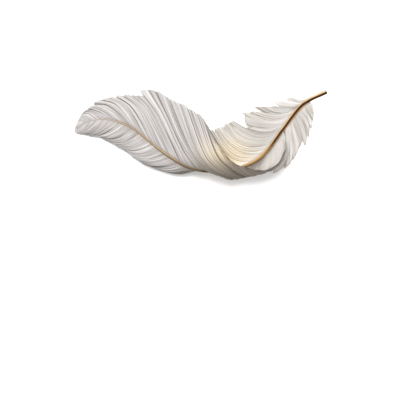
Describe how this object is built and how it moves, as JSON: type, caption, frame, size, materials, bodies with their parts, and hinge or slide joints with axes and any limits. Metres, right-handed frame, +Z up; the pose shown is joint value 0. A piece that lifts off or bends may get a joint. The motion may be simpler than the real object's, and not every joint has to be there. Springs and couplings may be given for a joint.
{
  "type": "feather",
  "caption": "Curled goose quill feather lying flat, twisted half a turn about its shaft, with a wide and a narrow web that roll up at their edges.",
  "frame": {"origin": "middle of the whole feather's bounding box in plan, at the height of the surface it lies on", "axes": "+X from the feather's tip towards the cut end of the quill, +Z up out of the surface, +Y completes a right-handed frame"},
  "size_m": [0.2018, 0.0718, 0.0252],
  "materials": {
    "shaft": "satin horn",
    "inner_vane": "silky barbs",
    "inner_base": "loose soft barbs",
    "outer_base": "loose soft barbs",
    "outer_middle": "silky barbs",
    "outer_tip": "silky barbs"
  },
  "bodies": {
    "root": {"shaft": "shaft", "inner_vane": "inner_vane", "inner_base": "inner_base", "outer_base": "outer_base", "outer_middle": "outer_middle", "outer_tip": "outer_tip"}
  },
  "joints": []
}
